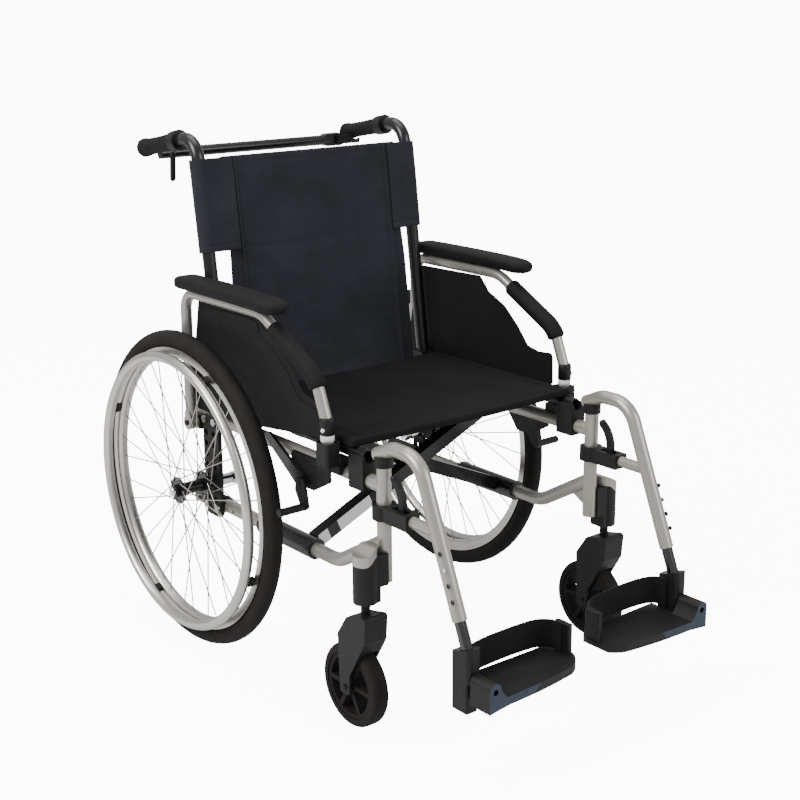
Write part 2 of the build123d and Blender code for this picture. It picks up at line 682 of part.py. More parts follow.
with BuildPart() as housing:
    with BuildSketch(Plane.XY.offset(HOUSING_LOW)):
        with Locations((STEM_X, POST_Y)):
            Circle(HOUSING_R)
        with Locations((FRAME_X + CLAMP_HALF, POST_Y)):
            Rectangle(2 * CLAMP_HALF, 2 * CLAMP_HALF)
    extrude(amount=HOUSING_HIGH - HOUSING_LOW)
    with BuildSketch(Plane.XY.offset(HOUSING_LOW - 1)):
        with Locations((FRAME_X, POST_Y)):
            Circle(TUBE_R + CLEAR)
    extrude(amount=HOUSING_HIGH, mode=Mode.SUBTRACT)
    with BuildSketch(Plane.XY.offset(HOUSING_LOW - 1)):
        with Locations((STEM_X, POST_Y)):
            Circle(STEM_R + RUN)
    extrude(amount=STEM_BORE, mode=Mode.SUBTRACT)
frame_side = block(FRAME_X - 30, FRAME_X + 5, POST_Y - 40, POST_Y + 40, HOUSING_LOW - 1, HOUSING_HIGH + 1)
step_x = STEM_X - HOUSING_R + 1
foot_cut = block(FRAME_X - 30, step_x, POST_Y - 40, POST_Y + 40, HOUSING_LOW - 1, HOUSING_LOW + STEP_H)
neck_room = rod((FRAME_X, BEND_Y, LOWER_Z), (FRAME_X, POST_Y, NECK_Z), TUBE_R + CLEAR)
housing_solid = housing.part - frame_side - foot_cut - above_seam(0) - neck_room
housing_solid = housing_solid.solids().sort_by(SortBy.VOLUME)[-1]
cap = rod((STEM_X, POST_Y, HOUSING_LOW), (STEM_X, POST_Y, HOUSING_LOW + 200), HOUSING_R)
cap = (cap & above_seam(CLEAR)) - above_seam(CAP_T)
cap -= rod((FRAME_X, POST_Y, 200), (FRAME_X, POST_Y, 400), TUBE_R + CLEAR)
cap = cap.solids().sort_by(SortBy.VOLUME)[-1]
save_pair(group(housing_solid, cap), "caster_housing")

CASTER_AXLE = 5.0
HUB_HALF = 14.0
with BuildPart() as fork:
    with BuildSketch(side(STEM_X - CASTER_W / 2 - 2 - 6)):
        with BuildLine():
            Polyline(
                (POST_Y - 30, FORK_TOP - 2),
                (POST_Y + 22, FORK_TOP - 14),
                (CASTER_Y + 18, 170),
                (CASTER_Y + 13, CASTER_R - 12),
                (CASTER_Y - 13, CASTER_R - 12),
                (CASTER_Y - 14, 100),
                (POST_Y - 26, 172),
                close=True,
            )
        make_face()
        fillet(vertices(), 6)
    extrude(amount=CASTER_W + 16)
    with BuildSketch(side(STEM_X - CASTER_W / 2 - 2)):
        with Locations((CASTER_Y, CASTER_R)):
            Circle(CASTER_R + 6)
        with Locations((CASTER_Y, CASTER_R - 40)):
            Rectangle(2 * CASTER_R, 80)
    extrude(amount=CASTER_W + 4, mode=Mode.SUBTRACT)
    with BuildSketch(Plane.XY.offset(FORK_TOP - 20)):
        with Locations((STEM_X, POST_Y)):
            Circle(STEM_R)
    extrude(amount=HOUSING_LOW + 46 - FORK_TOP + 20)
    with BuildSketch(side(STEM_X - CASTER_W / 2 - 11)):
        with Locations((CASTER_Y, CASTER_R)):
            Circle(CASTER_AXLE)
    extrude(amount=CASTER_W + 22)
save_pair(fork.part, "caster_fork")

RUBBER = 15.0
HUB_BORE = CASTER_AXLE + RUN
with BuildPart() as caster_hub:
    with BuildSketch(side(STEM_X - HUB_HALF)):
        with Locations((CASTER_Y, CASTER_R)):
            Circle(CASTER_R - RUBBER - CLEAR)
            Circle(CASTER_R - RUBBER - 8, mode=Mode.SUBTRACT)
            Circle(15)
            with PolarLocations(30, 6):
                Rectangle(46, 8)
            Circle(HUB_BORE, mode=Mode.SUBTRACT)
    extrude(amount=2 * HUB_HALF)
with BuildPart() as caster_tyre:
    with BuildSketch(side(STEM_X - CASTER_W / 2)):
        with Locations((CASTER_Y, CASTER_R)):
            Circle(CASTER_R)
            Circle(CASTER_R - RUBBER, mode=Mode.SUBTRACT)
    extrude(amount=CASTER_W)
    fillet(caster_tyre.edges().filter_by(GeomType.CIRCLE).sort_by(SortBy.RADIUS)[-2:], 8)
save_pair(group(caster_hub.part, caster_tyre.part), "caster_wheel")

# ---------------------------------------------------------------- hanger
JAW_R = TUBE_R + CLEAR
with BuildPart() as hanger:
    with BuildLine():
        tube_path(FRAME_X, [(-497, 481), (-538, 500), LEG_BEND, LEG_END], (40, 52))
    with BuildSketch(Plane(origin=(FRAME_X, -497, 481), x_dir=(1, 0, 0), z_dir=(0, -41, 19))):
        Circle(HANGER_R)
    sweep()
    with BuildSketch(Plane.XY.offset(POST_TOP + CLEAR)):
        with Locations((FRAME_X, POST_Y)):
            Circle(16)
    extrude(amount=17)
    with BuildSketch(Plane.XY.offset(POST_TOP - 60)):
        with Locations((FRAME_X, POST_Y)):
            Circle(TUBE_R - 2 - RUN)
    extrude(amount=70)
    with BuildSketch(Plane(origin=(FRAME_X, -580, LATCH_Z), x_dir=(1, 0, 0), z_dir=(0, -1, 0))):
        Circle(10)
    extrude(amount=66)
leg_dir = Vector(0, LEG_END[0] - LEG_BEND[0], LEG_END[1] - LEG_BEND[1]).normalized()
leg_foot = Vector(FRAME_X, *LEG_END) + leg_dir * 46
bore_end = Vector(FRAME_X, *LEG_END) + leg_dir * 5
bore_top = Vector(FRAME_X, *LEG_END) - leg_dir * 130
hanger_solid = hanger.part - rod(tuple(bore_top), tuple(bore_end), LEG_R + RUN)

LATCH_PIN_Y = -560.0
latch = rod((FRAME_X, POST_Y, LATCH_Z - 14), (FRAME_X, POST_Y, LATCH_Z + 12), TUBE_R + 8)
latch += block(FRAME_X - 15, FRAME_X + 15, -588, POST_Y, LATCH_Z - 14, LATCH_Z + 12)
latch -= rod((FRAME_X, POST_Y, LATCH_Z - 40), (FRAME_X, POST_Y, LATCH_Z + 40), JAW_R)
latch -= rod((FRAME_X, -700, LATCH_Z), (FRAME_X, -579, LATCH_Z), 10 + CLEAR)
latch -= block(FRAME_X - 6, FRAME_X + 6, -577, -540, LATCH_Z - 2, LATCH_Z + 30)
latch -= disc(FRAME_X - 20, FRAME_X + 20, 3, y=LATCH_PIN_Y, z=LATCH_Z + 6)
latch += disc(FRAME_X - 15, FRAME_X + 15, 3, y=LATCH_PIN_Y, z=LATCH_Z + 6)
save_pair(group(hanger_solid, latch), "hanger")
with BuildPart() as latch_lever:
    with BuildSketch(side(FRAME_X - 5)):
        with BuildLine():
            ThreePointArc((LATCH_PIN_Y - 6, LATCH_Z + 6), (-564, 428), (-543, 454))
            Line((-543, 454), (-537, 446))
            ThreePointArc((-537, 446), (-553, 424), (LATCH_PIN_Y + 6, LATCH_Z + 6))
            Line((LATCH_PIN_Y + 6, LATCH_Z + 6), (LATCH_PIN_Y - 6, LATCH_Z + 6))
        make_face()
        with Locations((LATCH_PIN_Y, LATCH_Z + 6)):
            Circle(6)
            Circle(3 + RUN, mode=Mode.SUBTRACT)
    extrude(amount=10)
    with Locations((FRAME_X, -541, 450)):
        Sphere(7)
save_pair(latch_lever.part, "latch_lever")

# ---------------------------------------------------------------- leg tube and footplate
PIN_END = -784.0
FLIP_R = 5.0
EAR_R = 12.0
EAR_X1 = FRAME_X + 13
CLAMP_X0, CLAMP_X1 = FRAME_X - 14, FRAME_X + 14
CLAMP_FRONT, CLAMP_REAR = -738.0, -696.0
SHELL_LOW = 160.0
SHELL_HIGH = 213.0
BLOCK_LOW = 108.0
LIP_FRONT = -774.0
leg = rod(tuple(bore_top + leg_dir * 40), tuple(leg_foot), LEG_R)
with BuildPart() as ankle:
    with BuildSketch(side(CLAMP_X0)):
        with BuildLine():
            Polyline(
                (CLAMP_FRONT - 4, SHELL_LOW),
                (CLAMP_FRONT - 4, SHELL_HIGH + 8),
                (CLAMP_REAR, SHELL_HIGH - 6),
                (CLAMP_REAR, SHELL_LOW),
                close=True,
            )
        make_face()
    extrude(amount=CLAMP_X1 - CLAMP_X0)
    fillet(ankle.edges().filter_by(Axis.Z), 9)
    with BuildSketch(Plane.XY.offset(BLOCK_LOW)):
        with Locations((FRAME_X, (CLAMP_FRONT + CLAMP_REAR) / 2 + 1)):
            RectangleRounded(CLAMP_X1 - CLAMP_X0 - 4, CLAMP_REAR - CLAMP_FRONT - 4, 4)
    extrude(amount=SHELL_LOW - BLOCK_LOW)
leg += ankle.part
leg += rod((FRAME_X, CLAMP_FRONT, FLIP_Z), (FRAME_X, PIN_END, FLIP_Z), FLIP_R)
save_pair(leg, "leg_tube")

FOOT_LOW = FOOT_TOP - FOOT_T
PLATE_OUT = CLAMP_X0 - 4
LIP_T = 12.0
LIP_LOW = FOOT_LOW - 5
EDGE_CUT = 8.0
with BuildPart() as footplate:
    with BuildSketch(Plane.XY.offset(FOOT_LOW)):
        with BuildLine():
            back = Line((PLATE_OUT, FOOT_REAR), (70, FOOT_REAR - 3))
            corner = ThreePointArc(back @ 1, (FOOT_IN + 11, FOOT_REAR - 12), (FOOT_IN, FOOT_REAR - 34))
            inner_edge = Line(corner @ 1, (FOOT_IN, -742))
            nose = ThreePointArc(inner_edge @ 1, (FOOT_IN + 16, -766), (64, -778))
            front = ThreePointArc(nose @ 1, (150, -788), (EAR_X1, -FRONT_REACH + 1))
            Line(front @ 1, (EAR_X1, CLAMP_FRONT - 6))
            Line((EAR_X1, CLAMP_FRONT - 6), (PLATE_OUT, CLAMP_FRONT - 6))
            Line((PLATE_OUT, CLAMP_FRONT - 6), back @ 0)
        make_face()
    extrude(amount=FOOT_T)
    with BuildSketch(Plane.XZ.offset(-CLAMP_FRONT + 6)):
        with BuildLine():
            under = Line((175, FOOT_LOW + 4), (EAR_X1, LIP_LOW))
            outer_face = Line(under @ 1, (EAR_X1, FLIP_Z + 3))
            crest_top = (FRAME_X + 2, FLIP_Z + EAR_R + 3)
            crest = ThreePointArc(outer_face @ 1, crest_top, (FRAME_X - EAR_R + 1, FLIP_Z + 5))
            ThreePointArc(crest @ 1, (FRAME_X - 24, FOOT_TOP + 1), (175, FOOT_TOP - 3))
            Line((175, FOOT_TOP - 3), under @ 0)
        make_face()
    extrude(amount=FRONT_REACH + CLAMP_FRONT - 6)
    with BuildSketch(Plane.XY.offset(FOOT_TOP)):
        with Locations((FOOT_IN + 8, -728)):
            RectangleRounded(11, 34, 4)
    extrude(amount=52)
    with BuildSketch(Plane.XZ.offset(-CLAMP_FRONT)):
        with Locations((FRAME_X, FLIP_Z)):
            Circle(FLIP_R + RUN)
    extrude(amount=100, mode=Mode.SUBTRACT)
    with BuildSketch(Plane.XZ.offset(-FOOT_REAR - 10)):
        with BuildLine():
            corner_x, corner_z = FOOT_IN - 1, FOOT_LOW - 1
            Polyline((corner_x, FOOT_LOW + EDGE_CUT), (corner_x, corner_z), (FOOT_IN + 12, corner_z), close=True)
        make_face()
    extrude(amount=FRONT_REACH, mode=Mode.SUBTRACT)
save_pair(footplate.part, "footplate")
STRAP_T = 3.0
STRAP_IN = FOOT_IN + 14
STRAP_LOW, STRAP_HIGH = FOOT_TOP + 2, FOOT_TOP + 50
strap = block(STRAP_IN, CLAMP_X0 - 8, FOOT_REAR - 3 - STRAP_T, FOOT_REAR - 3, STRAP_LOW, STRAP_HIGH)
strap += block(STRAP_IN, STRAP_IN + STRAP_T, -728, FOOT_REAR - 3, STRAP_LOW, STRAP_HIGH)
save_pair(strap, "heel_strap")
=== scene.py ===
import math

import bmesh
import bpy
import numpy as np
from mathutils import Matrix, Vector, noise


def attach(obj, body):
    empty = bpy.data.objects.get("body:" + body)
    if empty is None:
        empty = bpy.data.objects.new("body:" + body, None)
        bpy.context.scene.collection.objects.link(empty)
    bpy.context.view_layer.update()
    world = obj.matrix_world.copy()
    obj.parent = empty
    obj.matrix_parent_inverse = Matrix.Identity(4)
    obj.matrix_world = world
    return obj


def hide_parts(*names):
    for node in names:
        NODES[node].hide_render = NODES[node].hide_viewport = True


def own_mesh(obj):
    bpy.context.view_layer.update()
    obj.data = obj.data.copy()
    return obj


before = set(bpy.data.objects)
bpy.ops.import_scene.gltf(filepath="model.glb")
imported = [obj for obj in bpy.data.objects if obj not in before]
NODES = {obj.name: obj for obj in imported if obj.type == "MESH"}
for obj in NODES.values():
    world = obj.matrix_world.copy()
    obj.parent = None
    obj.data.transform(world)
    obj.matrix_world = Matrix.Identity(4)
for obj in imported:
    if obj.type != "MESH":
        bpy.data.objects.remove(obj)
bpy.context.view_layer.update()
MM = 0.001
# The chair's main sizes, in mm, with y counted from the rear axle.
AXLE_Y = 0.2425  # the axle's place in the frame, in metres
FRAME_X = 244.0  # from the middle to a side frame's tubes
ARM_X = 279.0  # from the middle to an arm tube
POST_Y = -513.0  # the front post
SIDES = (("left", 1.0), ("right", -1.0))


def at(x, y, z):
    """A point given in millimetres with y counted from the rear axle."""
    return Vector((x * MM, y * MM + AXLE_Y, z * MM))


# ------------------------------------------------------------------ materials
class Paint:
    """A small helper that builds one node material."""

    def __init__(self, name, color, rough=0.5, metal=0.0, coat=0.0, sheen=0.0, spec=0.5):
        self.mat = bpy.data.materials.new(name)
        self.mat.use_nodes = True
        self.tree = self.mat.node_tree
        self.tree.nodes.clear()
        self.out = self.add("ShaderNodeOutputMaterial")
        self.bsdf = self.add("ShaderNodeBsdfPrincipled")
        self.link(self.bsdf, "BSDF", self.out, "Surface")
        self.bsdf.inputs["Base Color"].default_value = (*color, 1)
        self.bsdf.inputs["Roughness"].default_value = rough
        self.bsdf.inputs["Metallic"].default_value = metal
        self.bsdf.inputs["Coat Weight"].default_value = coat
        self.bsdf.inputs["Coat Roughness"].default_value = 0.12
        self.bsdf.inputs["Sheen Weight"].default_value = sheen
        self.bsdf.inputs["Sheen Roughness"].default_value = 0.5
        self.bsdf.inputs["Specular IOR Level"].default_value = spec
        self.color = color
        self.coord = self.add("ShaderNodeTexCoord")

    def add(self, kind, **values):
        node = self.tree.nodes.new(kind)
        for key, value in values.items():
            setattr(node, key, value)
        return node

    def link(self, a, out, b, into):
        self.tree.links.new(a.outputs[out], b.inputs[into])

    def noise(self, scale, detail=4.0, rough=0.55):
        tex = self.add("ShaderNodeTexNoise")
        tex.inputs["Scale"].default_value = scale
        tex.inputs["Detail"].default_value = detail
        tex.inputs["Roughness"].default_value = rough
        self.link(self.coord, "Object", tex, "Vector")
        return tex

    def tint(self, scale, spread):
        """Slow colour variation."""
        tex = self.noise(scale)
        ramp = self.add("ShaderNodeValToRGB")
        low = [max(0.0, c * (1 - spread)) for c in self.color]
        high = [min(1.0, c * (1 + spread)) for c in self.color]
        ramp.color_ramp.elements[0].position = 0.3
        ramp.color_ramp.elements[1].position = 0.7
        ramp.color_ramp.elements[0].color = (*low, 1)
        ramp.color_ramp.elements[1].color = (*high, 1)
        self.link(tex, "Fac", ramp, "Fac")
        self.link(ramp, "Color", self.bsdf, "Base Color")

    def vary_rough(self, scale, low, high):
        tex = self.noise(scale, detail=6.0)
        span = self.add("ShaderNodeMapRange")
        span.inputs["To Min"].default_value = low
        span.inputs["To Max"].default_value = high
        self.link(tex, "Fac", span, "Value")
        self.link(span, "Result", self.bsdf, "Roughness")

    def bump(self, height, out, strength, distance):
        node = self.add("ShaderNodeBump")
        node.inputs["Strength"].default_value = strength
        node.inputs["Distance"].default_value = distance
        self.link(height, out, node, "Height")
        self.link(node, "Normal", self.bsdf, "Normal")


def metal_paint(name, color):
    p = Paint(name, color, rough=0.34, metal=0.55, coat=0.35)
    p.tint(14.0, 0.05)
    p.vary_rough(60.0, 0.28, 0.42)
    p.bump(p.noise(900.0, 2.0), "Fac", 0.05, 0.0004)
    return p.mat


def aluminium(name, color, rough=0.3):
    p = Paint(name, color, rough=rough, metal=1.0)
    p.tint(20.0, 0.05)
    p.vary_rough(160.0, rough - 0.06, rough + 0.1)
    p.bump(p.noise(700.0, 3.0), "Fac", 0.06, 0.0003)
    return p.mat


def chrome(name, tone=0.72):
    p = Paint(name, (tone, tone, tone * 1.03), rough=0.1, metal=1.0)
    p.vary_rough(90.0, 0.06, 0.16)
    return p.mat


def plastic(name, color, rough=0.5, grain=420.0, spread=0.18, spec=0.22):
    p = Paint(name, color, rough=rough, spec=spec)
    p.tint(25.0, spread)
    p.vary_rough(90.0, rough - 0.08, rough + 0.1)
    p.bump(p.noise(grain, 3.0), "Fac", 0.16, 0.0004)
    return p.mat


def gloss_black(name, color=(0.006, 0.006, 0.007)):
    p = Paint(name, color, rough=0.3, coat=0.15, spec=0.3)
    p.tint(18.0, 0.2)
    p.vary_rough(70.0, 0.2, 0.34)
    return p.mat


def rubber(name, color, rough=0.75):
    p = Paint(name, color, rough=rough, spec=0.15)
    p.tint(30.0, 0.22)
    p.vary_rough(120.0, rough - 0.1, rough + 0.1)
    p.bump(p.noise(600.0, 4.0), "Fac", 0.25, 0.0005)
    return p.mat


def cloth(name, color, pitch=1.3, sheen=0.25):
    p = Paint(name, color, rough=0.9, sheen=sheen, spec=0.08)
    p.tint(9.0, 0.22)
    waves = []
    for direction in ("X", "Z"):
        wave = p.add("ShaderNodeTexWave", bands_direction=direction)
        wave.inputs["Scale"].default_value = 2.0 / (pitch * MM * 2 * math.pi)
        wave.inputs["Distortion"].default_value = 0.4
        p.link(p.coord, "Object", wave, "Vector")
        waves.append(wave)
    add = p.add("ShaderNodeMath", operation="ADD")
    p.link(waves[0], "Fac", add, 0)
    p.link(waves[1], "Fac", add, 1)
    p.bump(add, "Value", 0.35, 0.0004)
    return p.mat


M = {
    "frame": metal_paint("frame_paint", (0.30, 0.28, 0.25)),
    "alu": aluminium("bare_aluminium", (0.50, 0.48, 0.45)),
    "chrome": chrome("chrome_steel"),
    "dark_chrome": chrome("dark_chrome", 0.07),
    "spoke": aluminium("spoke_steel", (0.34, 0.32, 0.28), 0.3),
    "gloss": gloss_black("black_paint"),
    "plastic": plastic("black_plastic", (0.0062, 0.0062, 0.0062)),
    "panel": plastic("panel_plastic", (0.0026, 0.0025, 0.0027), rough=0.68, grain=300.0),
    "tyre": rubber("tyre_rubber", (0.0095, 0.0080, 0.0070)),
    "grip": rubber("grip_rubber", (0.0065, 0.0060, 0.0057)),
    "foam": rubber("pad_foam", (0.0046, 0.0042, 0.0041), 0.7),
    "cloth": cloth("sling_cloth", (0.0195, 0.0205, 0.0265), sheen=0.03),
    "seat": cloth("seat_cloth", (0.0058, 0.0058, 0.0066), sheen=0.01),
    "strap": cloth("strap_web", (0.007, 0.007, 0.008), pitch=2.0, sheen=0.06),
    # painted highlight: a lighter blue-grey for the light on the footplate's front faces
    "plate_highlight": plastic("plate_painted_highlight", (0.020, 0.030, 0.047), rough=0.5),
    "white": plastic("white_plastic", (0.62, 0.61, 0.58), rough=0.45, spread=0.03),
    "label": plastic("label_film", (0.55, 0.56, 0.58), rough=0.4, spread=0.04),
}
BY_NODE = {
    "side_frame": "frame",
    "axle_plate": "plastic",
    "axle": "chrome",
    "hub": "gloss",
    "spokes": "spoke",
    "rim": "alu",
    "tyre": "tyre",
    "handrim": "alu",
    "back_post": "gloss",
    "push_grip": "grip",
    "post_fittings": "plastic",
    "frame_mounts": "plastic",
    "brake_bracket": "plastic",
    "brake_lever": "gloss",
    "brake_shoe": "plastic",
    "arm_tube": "frame",
    "arm_padding": "foam",
    "side_panel": "panel",
    "caster_housing": "plastic",
    "caster_fork": "plastic",
    "caster_wheel": "tyre",
    "cross_brace": "gloss",
    "seat_sling": "seat",
    "hanger": "frame",
    "latch_lever": "plastic",
    "leg_tube": "dark_chrome",
    "footplate": "plastic",
    "heel_strap": "strap",
    "back_sling": "cloth",
    "tension_bar": "gloss",
    "brace_pivot": "chrome",
}


def base_name(node):
    for tail in ("_left", "_right"):
        if node.endswith(tail) and node[: -len(tail)] in BY_NODE:
            return node[: -len(tail)]
    return node


def dress(obj, material):
    for k in range(len(obj.material_slots)):
        obj.material_slots[k].material = material
    if not obj.material_slots:
        obj.data.materials.append(material)


for node_name, node in NODES.items():
    dress(node, M[BY_NODE[base_name(node_name)]])


def islands(mesh):
    """Face lists of a mesh's separate solids, joined where their corners meet."""
    owner = {}
    parent = list(range(len(mesh.polygons)))

    def root(k):
        while parent[k] != k:
            parent[k] = parent[parent[k]]
            k = parent[k]
        return k

    for face in mesh.polygons:
        for vertex in face.vertices:
            key = tuple(round(c, 6) for c in mesh.vertices[vertex].co)
            first = owner.setdefault(key, face.index)
            parent[root(face.index)] = root(first)
    found = {}
    for face in mesh.polygons:
        found.setdefault(root(face.index), []).append(face.index)
    return list(found.values())


def paint_solids(obj, chosen, material):
    """Gives whole solids of a node another material; the test gets a solid's low and high corners in mm."""
    obj.data.materials.append(material)
    slot = len(obj.data.materials) - 1
    for faces in islands(obj.data):
        points = [obj.data.vertices[v].co for k in faces for v in obj.data.polygons[k].vertices]
        low = [min(p[i] for p in points) / MM for i in range(3)]
        high = [max(p[i] for p in points) / MM for i in range(3)]
        if chosen(low, high):
            for k in faces:
                obj.data.polygons[k].material_index = slot


def paint_faces(obj, chosen, material):
    """Gives single faces another material; the test gets a face's centre in mm and its normal."""
    obj.data.materials.append(material)
    slot = len(obj.data.materials) - 1
    for face in obj.data.polygons:
        c = face.center
        if chosen(abs(c.x) / MM, (c.y - AXLE_Y) / MM, c.z / MM, face.normal):
            face.material_index = slot


LEG_START = Vector((-704.0, 256.0))
LEG_RUN = Vector((-100.0, -244.0)).normalized()
ANKLE_Y = -712.0


def on_leg(x, y, z):
    """True on the surface of the sliding leg tube, which has a radius of 10 mm."""
    offset = Vector((y, z)) - LEG_START
    across = abs(offset.x * LEG_RUN.y - offset.y * LEG_RUN.x)
    return math.hypot(across, x - FRAME_X) < 10.3 and z > 212


def on_ankle(x, y, z, normal):
    """True on the plastic clamp at the sliding tube's foot."""
    outside_bore = math.hypot(x - FRAME_X, y - ANKLE_Y) > 10.5
    return z < 225 and outside_bore and y > -745 and not on_leg(x, y, z)


def on_post_cap(x, y, z, normal):
    """True on the band that closes the hanger's pin on the front post."""
    return 464 < z < 481.5 and math.hypot(x - FRAME_X, y - POST_Y) < 16.2


def on_plate_highlight(x, y, z, normal):
    """True on the footplate's front faces, which get a lighter blue-grey as painted highlight."""
    return normal.y < -0.4 and x > 150


for side, sign in SIDES:
    paint_solids(NODES["handrim_" + side], lambda low, high: high[2] - low[2] < 200, M["plastic"])
    paint_solids(NODES["hanger_" + side], lambda low, high: high[2] - low[2] < 60, M["plastic"])
    paint_solids(NODES["caster_housing_" + side], lambda low, high: low[2] > 290, M["frame"])
    paint_solids(NODES["axle_plate_" + side], lambda low, high: high[2] - low[2] < 30, M["alu"])
    paint_faces(NODES["hanger_" + side], on_post_cap, M["plastic"])
    paint_faces(NODES["leg_tube_" + side], on_ankle, M["plastic"])
    # painted highlight: the footplate's front-facing faces get the lighter blue-grey
    paint_faces(NODES["footplate_" + side], on_plate_highlight, M["plate_highlight"])


# ------------------------------------------------------------------ shape helpers
def new_object(name, verts, faces, material, smooth=True):
    mesh = bpy.data.meshes.new(name)
    mesh.from_pydata([tuple(v) for v in verts], [], faces)
    mesh.update()
    obj = bpy.data.objects.new(name, mesh)
    bpy.context.scene.collection.objects.link(obj)
    mesh.materials.append(material)
    if smooth:
        mesh.shade_smooth()
    bm = bmesh.new()
    bm.from_mesh(mesh)
    bmesh.ops.recalc_face_normals(bm, faces=bm.faces)
    bm.to_mesh(mesh)
    bm.free()
    return obj


def swept(name, path, section, material):
    """A solid made by carrying a section, a function of the step giving 2-D points, along a path."""
    verts, faces = [], []
    points = [Vector(p) for p in path]
    n = len(points)
    up = Vector((0, 0, 1))
    for k, p in enumerate(points):
        a = points[max(k - 1, 0)]
        b = points[min(k + 1, n - 1)]
        tangent = (b - a).normalized()
        across = tangent.cross(up)
        if across.length < 1e-6:
            across = tangent.cross(Vector((1, 0, 0)))
        across.normalize()
        lift = across.cross(tangent).normalized()
        ring = section(k / (n - 1))
        count = len(ring)
        for u, v in ring:
            verts.append(p + across * u + lift * v)
    for k in range(n - 1):
        for j in range(count):
            a, b = k * count + j, k * count + (j + 1) % count
            faces.append((a, b, b + count, a + count))
    faces.append(tuple(range(count))[::-1])
    faces.append(tuple(range((n - 1) * count, n * count)))
    return new_object(name, verts, faces, material)


def rounded_end(share, length):
    """How far a section has grown from a rounded end, from 0 to 1, at a share of the way along."""
    end = min(share / length, 1.0)
    return math.sqrt(max(0.0, 1 - (1 - end) ** 2))


def superellipse(half_w, half_h, power, count=40):
    ring = []
    for j in range(count):
        t = 2 * math.pi * j / count
        c, s = math.cos(t), math.sin(t)
        ring.append(
            (
                half_w * math.copysign(abs(c) ** (2 / power), c),
                half_h * math.copysign(abs(s) ** (2 / power), s),
            )
        )
    return ring


def smooth_path(points, count):
    """Evenly spaced points on a Catmull-Rom curve through the given ones."""
    pts = [Vector(p) for p in points]
    pts = [pts[0] * 2 - pts[1], *pts, pts[-1] * 2 - pts[-2]]
    dense = []
    for k in range(1, len(pts) - 2):
        p0, p1, p2, p3 = pts[k - 1 : k + 3]
        for j in range(24):
            t = j / 24
            dense.append(
                0.5
                * (
                    (2 * p1)
                    + (-p0 + p2) * t
                    + (2 * p0 - 5 * p1 + 4 * p2 - p3) * t * t
                    + (-p0 + 3 * p1 - 3 * p2 + p3) * t**3
                )
            )
    dense.append(pts[-2])
    lengths = [0.0]
    for a, b in zip(dense, dense[1:]):
        lengths.append(lengths[-1] + (b - a).length)
    out, k = [], 0
    for j in range(count):
        want = lengths[-1] * j / (count - 1)
        while k < len(lengths) - 2 and lengths[k + 1] < want:
            k += 1
        span = max(lengths[k + 1] - lengths[k], 1e-12)
        out.append(dense[k].lerp(dense[k + 1], (want - lengths[k]) / span))
    return out


def fillet_path(points, radii, step=4.0):
    """Points along a polyline in the y, z plane whose corners are rounded with the given radii, in mm."""
    pts = [Vector(p) for p in points]
    out = [pts[0]]
    for k, radius in enumerate(radii, start=1):
        before = (pts[k - 1] - pts[k]).normalized()
        after = (pts[k + 1] - pts[k]).normalized()
        half = before.angle(after) / 2
        cut = radius / math.tan(half)
        middle = pts[k] + (before + after).normalized() * (radius / math.sin(half))
        start, end = pts[k] + before * cut - middle, pts[k] + after * cut - middle
        turn = start.angle(end)
        count = max(3, int(radius * turn / step))
        for j in range(count + 1):
            t = j / count
            arm = (start * math.sin((1 - t) * turn) + end * math.sin(t * turn)) / math.sin(turn)
            out.append(middle + arm)
    out.append(pts[-1])
    dense = [out[0]]
    for a, b in zip(out, out[1:]):
        count = max(1, int((b - a).length / step))
        dense += [a.lerp(b, (j + 1) / count) for j in range(count)]
    return dense


def turned(name, start, end, profile, material, count=40):
    """A solid turned about the line from start to end; the profile gives distance along and radius in mm."""
    axis = (end - start).normalized()
    guide = Vector((0, 0, 1)) if abs(axis.z) < 0.9 else Vector((1, 0, 0))
    u = axis.cross(guide).normalized()
    v = axis.cross(u)
    verts, faces = [], []
    for along, radius in profile:
        for j in range(count):
            t = 2 * math.pi * j / count
            spoke = u * math.cos(t) + v * math.sin(t)
            verts.append(start + axis * (along * MM) + spoke * (radius * MM))
    for k in range(len(profile) - 1):
        for j in range(count):
            a, b = k * count + j, k * count + (j + 1) % count
            faces.append((a, b, b + count, a + count))
    faces.append(tuple(range(count))[::-1])
    faces.append(tuple(range((len(profile) - 1) * count, len(profile) * count)))
    return new_object(name, verts, faces, material)


def trim(obj, body):
    """Hangs a small piece on a body."""
    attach(obj, body)
    return obj


# ------------------------------------------------------------------ soft pieces: the seat
SEAT_HALF = 257.0
SEAT_FRONT, SEAT_REAR = -446.0, -54.0
SEAT_TOP = 494.0
SEAT_THICK = 11.0
SEAT_SAG = 7.0
SEAT_GAP = 0.2  # from the middle crease to each half
SEAT_HEM = 18.0  # from the front and rear edges to their seams
RAIL_SEAM = 26.0  # from the rail to its seam


